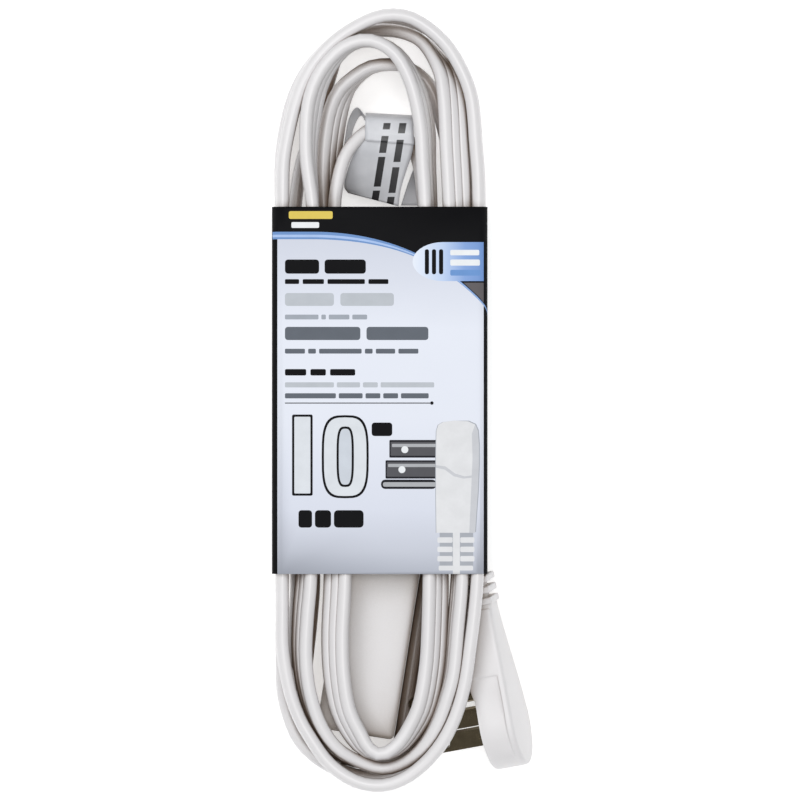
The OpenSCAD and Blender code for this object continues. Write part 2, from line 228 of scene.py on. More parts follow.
# One length of flat cord from the plug to the outlets. Rows are x, y, z and tilt in degrees: 0 is on edge
# and 90 flat. A positive tilt leans the strand's upper edge into the hank, and a negative one out of it.
# Every turn runs the same way round. The short lists between the turns are the runs inside the sleeve.
PLUG_LEAD = [(21.25, -56.4, 17.84, 12), (20.65, -51.9, 17.84, 11), (20.05, -47.4, 17.84, 10)]
OUTLET_LEAD = [(1.4, 0.3, 10.8, 90), (2.2, 6, 10.8, 90), (2.4, 12, 11, 88), (1.8, 18, 12, 82),
               (0, 24, 13, 72), (-3, 30, 15, 58), (-7, 35, 17, 42), (-12, 39, 19, 24)]
TURNS = [
    # up behind the others and round the fourth arch
    [(19, -20, 17.5, 8), (18.3, 20, 17, 8)],
    [(18, 61, 16.5, 10), (14.5, 78, 16.5, 10), (11.7, 89, 16.5, 8), (9, 97, 16.5, 5),
     (5.2, 101.6, 17, 3), (-0.3, 104.7, 17, 3), (-4.8, 105, 17, 3), (-10.2, 104.2, 17, -2),
     (-16.2, 99.8, 17.5, -14), (-19.3, 95.6, 18, -32), (-21.3, 90, 18, -42), (-22.9, 80, 18, -44),
     (-23.6, 69, 17.8, -38), (-23.6, 61, 17.5, -30)],
    # over the outlet block and round the innermost loop
    [(-24.4, 40, 17.8, -4), (-24.4, 25, 20, 16), (-22.3, 2, 26, 40), (-21, -28, 29.2, 57)],
    [(-20.5, -54.7, 29.5, 58), (-21.3, -74, 29.3, 55), (-20.7, -86.6, 29.3, 52),
     (-18.6, -97.2, 29, 45), (-14.5, -105, 28.4, 36), (-11.5, -108.8, 28, 18), (-7.3, -110.5, 27.8, 6),
     (-1.4, -107.8, 27.8, 18), (4.4, -100, 28.4, 36), (6.7, -94.8, 28.8, 42), (8.9, -82.8, 29, 46),
     (9.8, -66.3, 29, 47), (10, -54.7, 29, 47)],
    [(9, 0, 28.8, 34)],
    # the front arch
    [(7.6, 61, 28.5, 21), (7, 73.4, 28.5, 24), (6.6, 84.4, 28.5, 28), (4.7, 94.4, 28.5, 26),
     (2, 101.4, 28.5, 18), (-1.7, 107.2, 28.5, 10), (-6.1, 110.5, 28.5, 4), (-11.7, 112, 28.5, 0),
     (-17.8, 110, 28.5, -6), (-23.3, 104.4, 28.5, -18), (-26.7, 98, 28.5, -26),
     (-28.4, 91.5, 28.5, -29), (-29.4, 83, 28.5, -21), (-29.6, 75, 28.5, -13), (-29, 68, 28.4, -7),
     (-28.3, 61, 28.3, -2)],
    [(-28.8, 30, 28.3, 6), (-29.3, -10, 28.4, 12)],
    # the second loop, which dips past the end of the block
    [(-30.2, -54.7, 28.5, 30), (-31.3, -67.8, 28.3, 30), (-31.6, -80, 28, 26), (-30, -91.3, 27.5, 20),
     (-26.3, -101.4, 26.6, 12), (-21.1, -108.4, 25, 6), (-15.2, -112.2, 23, 3), (-6.7, -115, 22, 0),
     (-0.2, -113.1, 22.6, -3), (5.8, -108, 25.2, -6), (10.5, -100, 27.6, -9), (13.2, -92, 28.4, -12),
     (14.8, -85.9, 28.5, -14), (16.3, -70, 28.5, -16), (17.5, -54.7, 28.5, -16)],
    [(17.4, -25, 28.6, 0), (17.3, 10, 29, 40)],
    # the second arch, flat on the right and behind the front arch on the left
    [(16.6, 61, 29.6, 64), (15.8, 78, 29.4, 66), (14.8, 94.7, 28.2, 58), (13.3, 101.6, 26.4, 40),
     (9.7, 107.6, 23, 16), (5.2, 112.6, 20.5, 6), (-3.9, 115.6, 18.3, 2), (-13.6, 114.4, 16.5, 0),
     (-19.8, 110, 15.4, 0), (-23, 101.6, 13, 0), (-25, 94.7, 11.5, 0), (-28.4, 84.4, 9.8, 0),
     (-31.8, 75, 8.6, 0), (-34, 61, 8, 0)],
    [(-34, 40, 11.5, 0), (-33.9, 20, 19.5, 0), (-35, 0, 26, 0), (-37.3, -25, 27.3, 0)],
    # the outermost loop
    [(-37.8, -54.7, 27.2, 2), (-37.8, -66, 27.2, 2), (-37.7, -77, 27.2, 2), (-35.5, -90.3, 27.2, 2),
     (-32.3, -99.4, 27, 2), (-29.5, -104.4, 27, 2), (-23, -113.4, 26.8, 2), (-14.5, -118.9, 26.6, 2),
     (-6.7, -120, 26.6, 2), (-0.2, -118.1, 26.8, 2), (6.4, -113.3, 27.3, 2), (12, -106.7, 28, 3),
     (16.3, -98.1, 28.5, 3), (19.1, -88.1, 28.7, 2), (20.9, -75, 28.7, 0), (22.2, -64.1, 28.7, 0),
     (22.9, -54.7, 28.7, 0)],
    [(23.1, -10, 28.2, 0), (23.2, 30, 27.4, 1)],
    # the outermost arch
    [(23.5, 61, 27, 3), (23.3, 70, 27, 3), (22.6, 79, 27, 3), (21, 95, 27.2, 3), (17.5, 104, 27.4, 3),
     (13, 111, 27.5, 3), (7.5, 116, 27.6, 3), (2, 119.2, 27.6, 3), (-4, 120, 27.6, 3),
     (-8.5, 119.2, 27.6, 3), (-15, 116.2, 27.5, 3), (-22, 111.3, 27.4, 3), (-28, 105, 27.2, 7),
     (-32, 98.4, 27.1, 12), (-34.4, 91.9, 27, 15), (-36.3, 83.8, 27, 14), (-37.7, 74.7, 27, 10),
     (-37.9, 61, 27, 7)],
    [(-37.9, 40, 24, 2), (-37.9, 20, 18.5, 0), (-37.9, 0, 15.6, 0), (-37.8, -30, 15.5, 0)],
    # the loop behind it, which passes under the plug's pins
    [(-38, -54.7, 15.5, 0), (-38, -82, 15.2, 0), (-37.7, -91.3, 15, 0), (-35.8, -99.4, 14.6, 0),
     (-33, -105.9, 14.2, 0), (-28.6, -110.9, 13.6, 0), (-23, -114.7, 12.6, 0), (-14.5, -118, 11, 0),
     (-6.7, -118.5, 9.5, 0), (-0.6, -115.5, 7.8, 0), (2.8, -109, 6.4, 0), (4.2, -100, 5.8, 0),
     (5.6, -90, 5.8, 0), (8.4, -76, 5.9, 0), (10.9, -62, 6.2, 0), (12.6, -50, 6.3, 0)],
    [(16.8, -25, 6.4, 0), (20, 5, 6.3, 0), (22.4, 35, 6.2, 0)],
    # the hidden arch at the back
    [(23.2, 61, 6, 0), (22.6, 78, 6, 0), (21, 95, 6, 0), (17.5, 104, 6, 0), (13, 111, 6, 0),
     (7.5, 116, 6, 0), (2, 119.2, 6, 0), (-4, 120, 6, 0), (-8.5, 119.2, 6, 0), (-15, 116.2, 6, 0),
     (-22, 111.3, 6, 0), (-28, 105, 6, 0), (-32.2, 98.4, 6, 0), (-34.8, 91.9, 6, 0),
     (-36.7, 83.8, 6, 0), (-38, 74.7, 5.8, 0), (-38, 61, 5.6, 0)],
    [(-38, 25, 5.5, 0), (-34.5, -15, 5.2, 40)],
    # the hidden loop at the back, round the end of the block
    [(-30.9, -54.7, 5, 78), (-31.6, -68, 5, 74), (-32.6, -80, 5, 60), (-32.9, -90, 5.2, 36),
     (-31.4, -98.6, 5.5, 14), (-28, -105.3, 5.5, 0), (-22.6, -110.3, 5.5, 0), (-15, -113.6, 5.5, 0),
     (-7.5, -114, 5.5, 0), (-2.4, -111, 5.5, 0), (-0.7, -105, 5.5, 0), (0.1, -100, 5.5, 0),
     (1.7, -90, 5.5, 0), (3.9, -76, 5.5, 0), (6.1, -62, 5.5, 0), (8, -50, 5.5, 0)],
    [(12, -25, 5.8, 0), (11.6, -3, 7, 0), (10, 25, 10, 0)],
    # the small arch that carries the tag
    [(6.4, 61, 14, 0), (4.5, 75, 14.5, 0), (0.5, 82.8, 15.5, 0), (-5.8, 86, 17, 0),
     (-12.3, 83.4, 18.5, 0), (-18, 76.9, 20, 2), (-20.3, 70, 21, 3), (-21.6, 61, 21.5, 3),
     (-21.2, 53, 21, 5), (-19.2, 46, 20.4, 10), (-16, 41.5, 19.8, 18)],
]
RING_STEP = 3.0
FINE_STEP = 0.8
CORD_EDGE_ANGLE = 60

# The right half of the cord's upper face: across the width, then the height. A fine groove parts the outer
# core from the middle one.
HALF_SECTION = [(4.8, 0), (4.68, 0.72), (4.36, 1.32), (3.86, 1.76), (3.2, 2.0), (2.5, 2.05), (1.9, 1.97),
                (1.5, 1.84), (1.3, 1.5), (1.1, 1.82), (0.6, 1.95)]


def section():
    upper = HALF_SECTION + [(0, 1.98)] + [(-w, h) for w, h in reversed(HALF_SECTION)]
    return upper + [(w, -h) for w, h in reversed(upper[1:-1])]


def spline(rows):
    """The rows joined by one smooth curve, cut into short even steps."""
    pts = [Vector(r) for r in rows]
    pts = [2 * pts[0] - pts[1]] + pts + [2 * pts[-1] - pts[-2]]
    fine = []
    for a, b, c, d in zip(pts, pts[1:], pts[2:], pts[3:]):
        ts = [0]
        for p, q in ((a, b), (b, c), (c, d)):
            ts.append(ts[-1] + math.sqrt((q.xyz - p.xyz).length) + 1e-6)
        steps = max(2, int((c.xyz - b.xyz).length / FINE_STEP))
        for k in range(steps):
            t = ts[1] + (ts[2] - ts[1]) * k / steps
            ab = a.lerp(b, (t - ts[0]) / (ts[1] - ts[0]))
            bc = b.lerp(c, (t - ts[1]) / (ts[2] - ts[1]))
            cd = c.lerp(d, (t - ts[2]) / (ts[3] - ts[2]))
            abc = ab.lerp(bc, (t - ts[0]) / (ts[2] - ts[0]))
            bcd = bc.lerp(cd, (t - ts[1]) / (ts[3] - ts[1]))
            fine.append(abc.lerp(bcd, (t - ts[1]) / (ts[2] - ts[1])))
    fine.append(pts[-2])
    for _ in range(3):
        inner = [(p + 2 * q + r) / 4 for p, q, r in zip(fine, fine[1:], fine[2:])]
        fine = [fine[0]] + inner + [fine[-1]]
    total = sum((q.xyz - p.xyz).length for p, q in zip(fine, fine[1:]))
    count = round(total / RING_STEP)
    even, run, at = [fine[0]], 0.0, 1
    for p, q in zip(fine, fine[1:]):
        gap = (q.xyz - p.xyz).length
        while at < count and run + gap >= at * total / count:
            even.append(p.lerp(q, (at * total / count - run) / gap))
            at += 1
        run += gap
    even.append(fine[-1])
    return even


def build_cord():
    """The cord's mesh, and its path in metres from the outlets to the plug."""
    rows = list(PLUG_LEAD)
    for turn in TURNS:
        rows += turn
    rows += reversed(OUTLET_LEAD)
    rings = spline(rows)
    outline = section()
    verts, faces = [], []
    size = len(outline)
    for i, row in enumerate(rings):
        ahead = (rings[min(i + 1, len(rings) - 1)].xyz - rings[max(i - 1, 0)].xyz).normalized()
        inward = Vector((0, 0, 1)).cross(ahead).normalized()
        upright = ahead.cross(inward)
        tilt = math.radians(row.w)
        wide = upright * math.cos(tilt) + inward * math.sin(tilt)
        thick = ahead.cross(wide)
        verts += [mm(*(row.xyz + wide * w + thick * h)) for w, h in outline]
        if i:
            base = (i - 1) * size
            for k in range(size):
                n = (k + 1) % size
                faces.append((base + k, base + n, base + size + n, base + size + k))
    faces.append(tuple(range(size - 1, -1, -1)))
    faces.append(tuple(range(len(verts) - size, len(verts))))
    mesh = bpy.data.meshes.new("flat_cord")
    mesh.from_pydata(verts, [], faces)
    made = bmesh.new()
    made.from_mesh(mesh)
    bmesh.ops.recalc_face_normals(made, faces=made.faces)
    made.to_mesh(mesh)
    made.free()
    smooth(mesh, CORD_EDGE_ANGLE)
    mesh.materials.append(CORD_PVC)
    return new_object("flat_cord", mesh), [tuple(mm(*r.xyz)) for r in reversed(rings)]


cord, cord_path = build_cord()


# ---------------------------------------------------------------- moulded bodies

def turned(at, *turns):
    """The place of a moulding: its origin, then turns in degrees about named axes, outermost first."""
    place = Matrix.Translation(mm(*at))
    for angle, axis in turns:
        place = place @ Matrix.Rotation(math.radians(angle), 4, axis)
    return place


MERGE_DIST = 0.00002
MOULD_EDGE_ANGLE = 32


def finished(name, made, place, look):
    bmesh.ops.remove_doubles(made, verts=made.verts, dist=MERGE_DIST)
    bmesh.ops.recalc_face_normals(made, faces=made.faces)
    bmesh.ops.transform(made, matrix=place, verts=made.verts)
    mesh = bpy.data.meshes.new(name)
    made.to_mesh(mesh)
    made.free()
    smooth(mesh, MOULD_EDGE_ANGLE)
    mesh.materials.append(look)
    return new_object(name, mesh)


def loft(made, rings):
    """Joins closed rings of points, each a list of the same length, and closes both ends."""
    rows = [[made.verts.new(mm(*p)) for p in ring] for ring in rings]
    for low, high in zip(rows, rows[1:]):
        for k in range(len(low)):
            n = (k + 1) % len(low)
            made.faces.new((low[k], low[n], high[n], high[k]))
    for row in (rows[0], rows[-1]):
        made.faces.new(row)


EDGE_STEPS = 3


def rounded_box(made, low, high, r):
    """A box with every edge rounded, as stacked rounded rectangles."""
    (x0, y0, z0), (x1, y1, z1) = low, high

    def outline(inset, z):
        ring = []
        c = max(r - inset, 0.02)
        for cx, cy, start in ((x1, y1, 0), (x0, y1, 90), (x0, y0, 180), (x1, y0, 270)):
            mx = cx - math.copysign(r, cx - (x0 + x1) / 2)
            my = cy - math.copysign(r, cy - (y0 + y1) / 2)
            for k in range(EDGE_STEPS + 1):
                a = math.radians(start + 90 * k / EDGE_STEPS)
                ring.append((mx + c * math.cos(a), my + c * math.sin(a), z))
        return ring

    stack = []
    for k in range(EDGE_STEPS + 1):
        a = math.radians(90 * k / EDGE_STEPS)
        stack.append((r * (1 - math.sin(a)), z0 + r * (1 - math.cos(a))))
    stack += [(inset, z1 - (z - z0)) for inset, z in reversed(stack)]
    loft(made, [outline(inset, z) for inset, z in stack])


# The plug, in its own frame: blades to -X, cord to +Y
PLUG_PLACE = turned((30.9, -101.8, 15), (12, "Z"), (3.5, "X"), (-13, "Y"))
HEAD_R = 13.5
PLUG_REACH = 37.2
NECK_HALF = 5.8
HEAD_HALF_T = 6.35
NECK_HALF_T = 5.6
PANEL_Y = 16.8
PANEL_STEP = 0.45
GRIP_DEPTH = 1.0
FACE_CUT = 1.8
RELIEF_L = 10.5
RELIEF_RIBS = 3
RIB_T = 2.1
HEAD_STEPS = 32
# Where the straight flank of the outline has points, close together at the panel's step
FLANK_Y = (5.5, 8, 10, 12, 14, 15.5, 16.4, 16.6, 16.8, 17.0, 17.2, 18.5, 21, 24, 27, 30, 33, 35)
# The skin in layers from the back to the face: side, distance from it, inset of the outline there, and how
# much of the panel's step shows
PLUG_LAYERS = [
    ("back", 0.0, 1.4, 0), ("back", 0.1, 0.8, 0), ("back", 0.35, 0.35, 0), ("back", 0.8, 0.08, 0),
    ("back", 1.2, 0, 0), ("back", 1.95, 0, 0), ("back", 2.15, 0, 0.35), ("back", 2.4, 0, 0.85),
    ("back", 2.8, 0, 1), ("back", 3.6, 0, 0.96), ("back", 4.8, 0, 0.86), ("back", 6.2, 0, 0.72),
    ("face", 3.0, 0, 0.55), ("face", 1.6, 0, 0.45), ("face", 0.9, 0.08, 0.45),
    ("face", 0.35, 0.3, 0.3), ("face", 0.08, 0.7, 0), ("face", 0, 1.1, 0),
]


def plug_half_outline(inset):
    """Points of the plug's outline from the head's end to the cord's, on the +Z side."""
    reach = math.hypot(PLUG_REACH, NECK_HALF)
    touch = math.atan2(NECK_HALF, PLUG_REACH) + math.acos(HEAD_R / reach)
    r = HEAD_R - inset
    pts = []
    for k in range(HEAD_STEPS + 1):
        a = math.pi - (math.pi - touch) * k / HEAD_STEPS
        pts.append((r * math.cos(a), r * math.sin(a)))
    start, end = Vector(pts[-1]), Vector((PLUG_REACH - inset, NECK_HALF - inset))
    for y in FLANK_Y:
        t = (y - start.x) / (end.x - start.x)
        pts.append(tuple(start.lerp(end, t)))
    pts.append(tuple(end))
    return pts


def plug_half_t(y):
    """Half of the plug's thickness, which falls off from the head to the cord."""
    return HEAD_HALF_T - (HEAD_HALF_T - NECK_HALF_T) * ease(HEAD_R - 8, PLUG_REACH, y)


def build_plug():
    made = bmesh.new()
    rings = []
    for side, depth, inset, step in PLUG_LAYERS:
        half = []
        for y, z in plug_half_outline(inset):
            grip = PANEL_STEP + GRIP_DEPTH * (1 - ease(5, PANEL_Y, y))
            drop = step * grip * (1 - ease(PANEL_Y - 0.35, PANEL_Y + 0.35, y)) * ease(-12, -4, y)
            x = plug_half_t(y) - depth
            if side == "face":
                x = -x + FACE_CUT * (1 - ease(8, PANEL_Y, y))
            half.append((x, y, max(z - drop, 0.0)))
        rings.append(half)
    grid = [[made.verts.new(mm(*p)) for p in ring] for ring in rings]
    mirror = [[made.verts.new(mm(x, y, -z)) for x, y, z in ring] for ring in rings]
    for rows, flip in ((grid, False), (mirror, True)):
        for low, high in zip(rows, rows[1:]):
            for k in range(len(low) - 1):
                quad = (low[k], low[k + 1], high[k + 1], high[k])
                made.faces.new(quad[::-1] if flip else quad)
    for up, down in ((grid[0], mirror[0]), (grid[-1], mirror[-1])):
        for k in range(len(up) - 1):
            if k == 0:
                made.faces.new((up[0], up[1], down[1]))
            else:
                made.faces.new((up[k], up[k + 1], down[k + 1], down[k]))
    for low, high, low_m, high_m in zip(grid, grid[1:], mirror, mirror[1:]):
        made.faces.new((low[-1], high[-1], high_m[-1], low_m[-1]))
    bmesh.ops.remove_doubles(made, verts=made.verts, dist=MERGE_DIST)
    # the relief's core, the spine behind the neck, and the ribs
    rounded_box(made, (-3.6, PLUG_REACH - 1.5, -3.6), (4.2, PLUG_REACH + RELIEF_L, 3.6), 1.0)
    rounded_box(made, (1.6, PLUG_REACH - 3, -5.4), (5.6, PLUG_REACH + 3.4, 5.4), 0.8)
    pitch = RELIEF_L / RELIEF_RIBS
    for i in range(RELIEF_RIBS):
        y1 = PLUG_REACH + (i + 1) * pitch
        rounded_box(made, (-5.6, y1 - RIB_T, -6.0), (6.3, y1, 6.0), 0.4)
    return finished("plug_moulding", made, PLUG_PLACE, RIGID_PVC)


# The outlet block, in its own frame: outlets to -Z, cord to +Y
BLOCK_PLACE = turned((-15.2, -104.4, 0.8), (-9, "Z"))
BLOCK_W = 24.4
BLOCK_L = 84
BLOCK_R = 1.6
BLOCK_RELIEF = 22
BLOCK_RIBS = 5
BLOCK_CORNER_STEPS = 8
WIRE_Z = 10
# The block's skin from the outlets' side to the back: inset of the outline, and height
BLOCK_SKIN = [(2.05, 4.6), (2.05, 0.3), (1.85, 0.06), (1.6, 0), (0.7, 0), (0.35, 0.1), (0.1, 0.35),
              (0, 0.8), (0, 17.9), (0.12, 18.6), (0.4, 19.1), (0.8, 19.45), (1.3, 19.65), (2.2, 19.78),
              (4, 19.88), (7.5, 19.97), (11.2, 20)]


def block_ring(inset, z):
    r = max(BLOCK_R - inset, 0.4)
    hx, hy = BLOCK_W / 2 - inset, BLOCK_L / 2 - inset
    ring = []
    for sx, sy, start in ((1, 1, 0), (-1, 1, 90), (-1, -1, 180), (1, -1, 270)):
        for k in range(BLOCK_CORNER_STEPS + 1):
            a = math.radians(start + 90 * k / BLOCK_CORNER_STEPS)
            x, y = sx * (hx - r) + r * math.cos(a), sy * (hy - r) + r * math.sin(a)
            ring.append((x, BLOCK_L / 2 + y, z))
    return ring


def build_block():
    made = bmesh.new()
    loft(made, [block_ring(inset, z) for inset, z in BLOCK_SKIN])
    # the relief's core and ribs
    end = BLOCK_L + BLOCK_RELIEF
    rounded_box(made, (-5.2, BLOCK_L - 1.5, WIRE_Z - 3), (5.2, end, WIRE_Z + 3), 1.4)
    for i in range(BLOCK_RIBS):
        y1 = BLOCK_L + (i + 1) * BLOCK_RELIEF / BLOCK_RIBS
        rounded_box(made, (-6, y1 - RIB_T, WIRE_Z - 4), (6, y1, WIRE_Z + 4), 0.7)
    return finished("outlet_moulding", made, BLOCK_PLACE, RIGID_PVC)


plug = build_plug()
block = build_block()


# ---------------------------------------------------------------- the tag

TAG_COLUMNS = 14
TAG_STEPS = 6


def patch(made, left, right):
    """A strip between two edges, each a list of points from one end to the other."""
    left, right = spline_of(left), spline_of(right)
    rows = []
    for p, q in zip(left, right):
        rows.append([made.verts.new(mm(*p.lerp(q, k / TAG_COLUMNS))) for k in range(TAG_COLUMNS + 1)])
    for low, high in zip(rows, rows[1:]):
        for k in range(TAG_COLUMNS):
            made.faces.new((low[k], low[k + 1], high[k + 1], high[k]))


def spline_of(points):
    """An even curve through the points, in TAG_STEPS steps from each to the next."""
    pts = [Vector(p) for p in points]
    pts = [2 * pts[0] - pts[1]] + pts + [2 * pts[-1] - pts[-2]]
    out = []
    for a, b, c, d in zip(pts, pts[1:], pts[2:], pts[3:]):
        for k in range(TAG_STEPS):
            t = k / TAG_STEPS
            out.append(0.5 * (2 * b + (c - a) * t + (2 * a - 5 * b + 4 * c - d) * t ** 2
                              + (3 * b - a - 3 * c + d) * t ** 3))
    out.append(pts[-2])
    return out


# Bars on the tag, in parts of the print's width and length: where each line lies across it, and where its
# bars start and end along it
TAG_LINES = [
    (0.24, 0.37, [(0.10, 0.19), (0.22, 0.45), (0.48, 0.61), (0.66, 0.71)]),
    (0.53, 0.66, [(0.02, 0.14), (0.17, 0.37), (0.41, 0.58), (0.63, 0.71)]),
]


def tag_material():
    """Silver-grey vinyl with plain printed bars where the lettering is."""
    mat, tree, bsdf = shader("tag_vinyl")
    link = tree.links.new
    where = node(tree, "ShaderNodeTexCoord").outputs["UV"]
    split = node(tree, "ShaderNodeSeparateXYZ")
    link(where, split.inputs["Vector"])

    def maths(operation, *values):
        """Two values, each a socket or a number, joined by a Math node."""
        made = node(tree, "ShaderNodeMath", operation=operation)
        for socket, value in zip(made.inputs, values):
            if isinstance(value, float):
                socket.default_value = value
            else:
                link(value, socket)
        return made.outputs[0]

    def band(source, low, high):
        return maths("MULTIPLY", maths("GREATER_THAN", source, low), maths("LESS_THAN", source, high))

    across, along = split.outputs["X"], split.outputs["Y"]
    ink = None
    for low, high, bars in TAG_LINES:
        line = band(across, low, high)
        for start, end in bars:
            word = maths("MULTIPLY", line, band(along, start, end))
            ink = word if ink is None else maths("MAXIMUM", ink, word)
    place = node(tree, "ShaderNodeTexCoord").outputs["Object"]
    cloud = node(tree, "ShaderNodeTexNoise", Scale=160, Detail=3)
    link(place, cloud.inputs["Vector"])
    grey = ramp(tree, cloud.outputs["Fac"],
                [(NOISE_LOW, (0.56, 0.57, 0.6)), (NOISE_HIGH, (0.66, 0.67, 0.7))])
    link(laid_over(tree, ink, grey, (0.02, 0.02, 0.022)), bsdf.inputs["Base Color"])
    add_bump(tree, bsdf, cloud.outputs["Fac"], 0.15)
    bsdf.inputs["Roughness"].default_value = 0.42
    bsdf.inputs["Coat Weight"].default_value = 0.08
    return mat


# The print's corner, width and length on the tag, and how far it leans to the right going up
PRINT_X, PRINT_Y = -14.5, 58
PRINT_W, PRINT_L = 17, 40
PRINT_LEAN, PRINT_LEAN_Y = 0.16, 60
TAG_T = 0.00018


def build_tag():
    made = bmesh.new()
    # over the strand and down in front of it
    patch(made,
          [(-11.4, 89.4, 13.5), (-11.9, 89.8, 18), (-11.9, 88.2, 22.4), (-12, 85, 23.4),
           (-12, 80.9, 23.2)],
          [(3, 88.6, 13), (3, 89, 17.5), (3, 87.4, 22), (3.2, 83.5, 23), (3.4, 79.6, 22.6)])
    # the long lower layer, which curls to the left
    patch(made,
          [(-11.8, 82.2, 22.4), (-14.6, 78.5, 21.4), (-17, 73.5, 18.5), (-18.6, 67.4, 14.5),
           (-17.4, 65, 12)],
          [(3.2, 80, 22), (2.4, 76, 20.8), (0.7, 71, 19), (-0.9, 65.5, 18), (-1.6, 60.6, 17.6)])
    # the end of the back layer, behind the front arch
    patch(made, [(3.6, 74, 9), (1.4, 68, 11), (-0.8, 61, 13)], [(8, 75, 9), (7, 68, 10), (6, 61, 11)])
    # the back layer, which stands on edge behind the fourth arch
    patch(made, [(-11.6, 88.5, 13), (-14.6, 91.8, 11.5), (-17.2, 88, 10), (-18.6, 80, 9.5)],
          [(-11.4, 86.5, 8), (-13.4, 89.5, 5), (-15.6, 86, 4), (-17.2, 79, 4.5)])
    mesh = bpy.data.meshes.new("folded_tag")
    bmesh.ops.recalc_face_normals(made, faces=made.faces)
    uv = made.loops.layers.uv.new("print")
    for face in made.faces:
        for loop in face.loops:
            co = loop.vert.co * 1000
            lean = (co.y - PRINT_LEAN_Y) * PRINT_LEAN
            loop[uv].uv = ((co.x - PRINT_X - lean) / PRINT_W, (co.y - PRINT_Y) / PRINT_L)
    made.to_mesh(mesh)
    made.free()
    smooth(mesh)
    mesh.materials.append(tag_material())
    obj = new_object("folded_tag", mesh)
    thick = obj.modifiers.new("thickness", "SOLIDIFY")
    thick.thickness = TAG_T
    thick.offset = 0
    return obj


tag = build_tag()


# ---------------------------------------------------------------- the printed sleeve

CARD_X0, CARD_X1 = -40.9, 26.1
CARD_Y0, CARD_Y1 = -54.0, 60.0
CARD_D = 34.0
CARD_R = 3.0
CARD_T = 0.5
CARD_EDGE_ANGLE = 30
ARC = CARD_R * math.pi / 2
FLAT_W = CARD_X1 - CARD_X0 - 2 * CARD_R
FLAT_D = CARD_D - 2 * CARD_R
MID_X = (CARD_X0 + CARD_X1) / 2
FRONT_U = FLAT_W / 2 + ARC + FLAT_D + ARC


def wrap(u):
    """The card unrolled: how far round it is from the middle of the back gives x and z."""
    x0, x1 = CARD_X0 + CARD_R, CARD_X1 - CARD_R
    z0, z1 = CARD_R, CARD_D - CARD_R

    def rise(s):
        return CARD_R * math.sin(s / CARD_R)

    def run(s):
        return CARD_R * math.cos(s / CARD_R)

    legs = [
        (FLAT_W / 2, lambda s: (MID_X - s, 0)),
        (ARC, lambda s: (x0 - rise(s), z0 - run(s))),
        (FLAT_D, lambda s: (CARD_X0, z0 + s)),
        (ARC, lambda s: (x0 - run(s), z1 + rise(s))),
        (FLAT_W, lambda s: (x0 + s, CARD_D)),
        (ARC, lambda s: (x1 + rise(s), z1 + run(s))),
        (FLAT_D, lambda s: (CARD_X1, z1 - s)),
        (ARC, lambda s: (x1 + run(s), z0 - rise(s))),
        (FLAT_W / 2, lambda s: (x1 - s, 0)),
    ]
    for length, place in legs:
        if u <= length + 1e-6:
            return place(u)
        u -= length
    return place(length)


AROUND = 2 * FLAT_W + 2 * FLAT_D + 4 * ARC


BAR_STEPS = 4


def bar(x0, y0, x1, y1, r=0.0):
    """A rectangle on the front, with rounded ends where r is given."""
    if not r:
        return [(x0, y0), (x1, y0), (x1, y1), (x0, y1)]
    pts = []
    corners = ((x1 - r, y1 - r, 0), (x0 + r, y1 - r, 90), (x0 + r, y0 + r, 180), (x1 - r, y0 + r, 270))
    for cx, cy, start in corners:
        for k in range(BAR_STEPS + 1):
            a = math.radians(start + 90 * k / BAR_STEPS)
            pts.append((cx + r * math.cos(a), cy + r * math.sin(a)))
    return pts


def oval(cx, cy, rx, ry, n=36, power=2.0):
    """An ellipse of n points, or a squarer ring for a power above 2."""
    pts = []
    for k in range(n):
        a = 2 * math.pi * k / n
        c, s = math.cos(a), math.sin(a)
        pts.append((cx + rx * math.copysign(abs(c) ** (2 / power), c),
                    cy + ry * math.copysign(abs(s) ** (2 / power), s)))
    return pts


def header_edge(x):
    """The lower edge of the dark header, level on the left and falling away to the right."""
    t = max(x + 28, 0)
    return 52.2 - 0.0058 * t ** 2 - 0.00000075 * t ** 4


HEADER_STEPS = 28
SWEEP_X0, SWEEP_X1 = -41.5, 28.0


def sweep(low, high):
    """A band under the header's edge, from low to high, that thins to the right."""
    pts = []
    for k in range(HEADER_STEPS + 1):
        x = SWEEP_X0 + (SWEEP_X1 - SWEEP_X0) * k / HEADER_STEPS
        pts.append((x, header_edge(x), 1 - 0.7 * ease(-25, 22, x)))
    return [(x, y - low * w) for x, y, w in pts] + [(x, y - high * w) for x, y, w in reversed(pts)]


def words(y0, height, x0, widths, gap):
    """A line of plain bars, one for each word that stands there on the card."""
    out = []
    for w in widths:
        out.append(bar(x0, y0, x0 + w, y0 + height, min(height, w) * 0.22))
        x0 += w + gap
    return out


# Left ends of the lines of bars, of the badge's stripes, and of the pictured plug's body
TEXT_X = -36.8
BADGE_X = 14.5
PICTURE_X = 10.2
RING_AT = (-18.1, -17.6)
RING_POWER = 3.4


